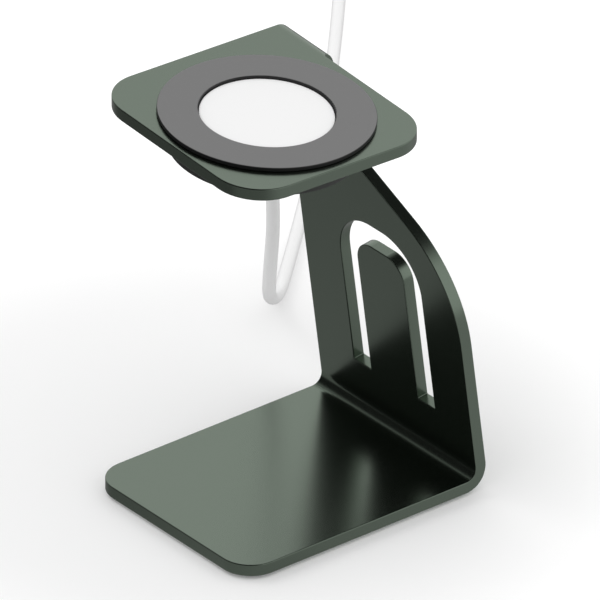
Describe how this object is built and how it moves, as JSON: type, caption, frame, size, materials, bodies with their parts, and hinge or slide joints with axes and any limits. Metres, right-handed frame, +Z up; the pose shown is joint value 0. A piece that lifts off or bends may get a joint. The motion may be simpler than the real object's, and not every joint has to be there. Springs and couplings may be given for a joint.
{
  "type": "charger stand",
  "caption": "Desk stand folded from one metal sheet, with an arched slot in its upright and a small top plate that carries a round watch charging puck in a ring pad, with its cable.",
  "frame": {"origin": "on the surface the stand rests on, under the middle of its box without the cable's nodes", "axes": "+Z up, the stand's open front faces -Y, the narrow end of the upright is on the -X side"},
  "size_m": [0.2745, 0.1972, 0.0957],
  "materials": {
    "stand_metal": "satin anodised dark green",
    "cup_plastic": "matte",
    "screw_steel": "black oxide",
    "pad_rubber": "soft matte",
    "foot_rubber": "soft matte",
    "puck_plastic": "satin white",
    "ferrite": "matte dark grey",
    "copper": "varnished copper",
    "magnet": "plated",
    "board": "satin green",
    "chips": "matte black",
    "wire_jacket": "matte red",
    "cable_jacket": "smooth satin white",
    "tie_plastic": "matte",
    "plug_plastic": "satin white",
    "plug_steel": "plain",
    "carrier_plastic": "matte white",
    "contact_gold": "gold plated"
  },
  "bodies": {
    "root": {"bent_frame": "stand_metal", "charger_cup": "cup_plastic", "cup_screws": "screw_steel", "pad_ring": "pad_rubber", "foot_front_far": "foot_rubber", "foot_front_near": "foot_rubber", "foot_back_far": "foot_rubber", "foot_back_near": "foot_rubber", "puck_case": "puck_plastic", "puck_face": "puck_plastic", "ferrite_disc": "ferrite", "charging_coil": "copper", "centre_magnet": "magnet", "circuit_board": "board", "board_chips": "chips", "lead_wires": "wire_jacket", "strain_relief": "cable_jacket", "cable": "cable_jacket", "cable_coil": "cable_jacket", "cable_tie": "tie_plastic", "plug_grip": "plug_plastic", "plug_shell": "plug_steel", "plug_carrier": "carrier_plastic", "plug_contacts": "contact_gold"}
  },
  "joints": []
}
